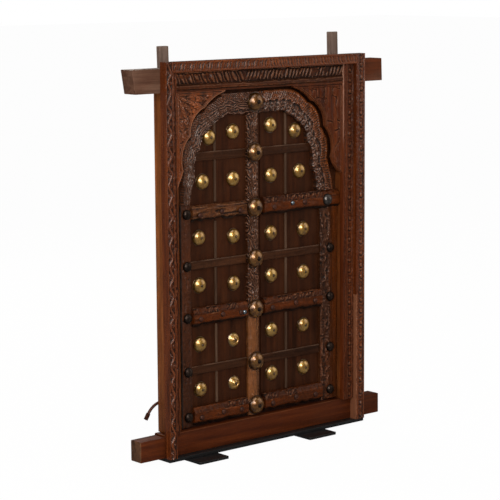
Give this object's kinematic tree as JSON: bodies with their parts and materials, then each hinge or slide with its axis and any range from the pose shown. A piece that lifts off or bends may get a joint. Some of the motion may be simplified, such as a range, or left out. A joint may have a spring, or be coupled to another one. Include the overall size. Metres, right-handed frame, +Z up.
{
  "type": "jharokha window",
  "caption": "Carved teak jharokha window in a horned frame, with pivot-hung leaves under a cusped arch, brass bosses and a low steel stand.",
  "frame": {"origin": "middle of the floor rectangle under the whole window, at the undersides of the feet", "axes": "+Z up, -Y towards the viewer of the carved front, +X to that viewer's right"},
  "size_m": [0.774, 0.15, 0.976],
  "materials": {
    "teak_frame": "oiled, worn, satin",
    "teak_carved": "carved, oiled, worn",
    "teak_dark": "dark aged, satin",
    "brass": "worn polished",
    "antique_brass": "dark tarnished",
    "iron": "forged, dull",
    "black_steel": "black satin"
  },
  "bodies": {
    "frame": {"head_beam": "teak_frame", "sill_beam": "teak_frame", "left_post": "teak_frame", "right_post": "teak_frame", "facing_left": "teak_carved", "facing_right": "teak_carved", "facing_top": "teak_carved", "inner_band_left": "teak_frame", "inner_band_right": "teak_carved", "inner_band_top": "teak_carved", "spandrel_left": "teak_carved", "spandrel_right": "teak_carved", "back_batten_left": "teak_frame", "back_batten_right": "teak_frame", "stand_bar": "black_steel", "foot_left": "black_steel", "foot_right": "black_steel", "iron_hook": "iron"},
    "left_leaf": {"left_boards": "teak_dark", "left_stile": "teak_dark", "left_rim": "teak_carved", "left_rail_bottom": "teak_carved", "left_rail_middle": "teak_carved", "left_rail_top": "teak_carved", "left_flat_battens": "teak_dark", "left_fillets": "teak_dark", "left_bosses": "brass", "left_boss_nails": "iron", "left_studs": "iron", "astragal": "teak_carved", "astragal_bosses": "antique_brass", "astragal_boss_nails": "iron"},
    "right_leaf": {"right_boards": "teak_dark", "right_stile": "teak_dark", "right_rim": "teak_carved", "right_rail_bottom": "teak_carved", "right_rail_middle": "teak_carved", "right_rail_top": "teak_carved", "right_flat_battens": "teak_dark", "right_fillets": "teak_dark", "right_bosses": "brass", "right_boss_nails": "iron", "right_studs": "iron"}
  },
  "joints": [
    {"name": "left_leaf_hinge", "type": "hinge", "parent": "frame", "child": "left_leaf", "pos_m": [-0.237, 0.009, 0.461], "axis": [0, 0, 1], "range_deg": [0, 90]},
    {"name": "right_leaf_hinge", "type": "hinge", "parent": "frame", "child": "right_leaf", "pos_m": [0.237, 0.009, 0.461], "axis": [0, 0, -1], "range_deg": [0, 90]}
  ]
}
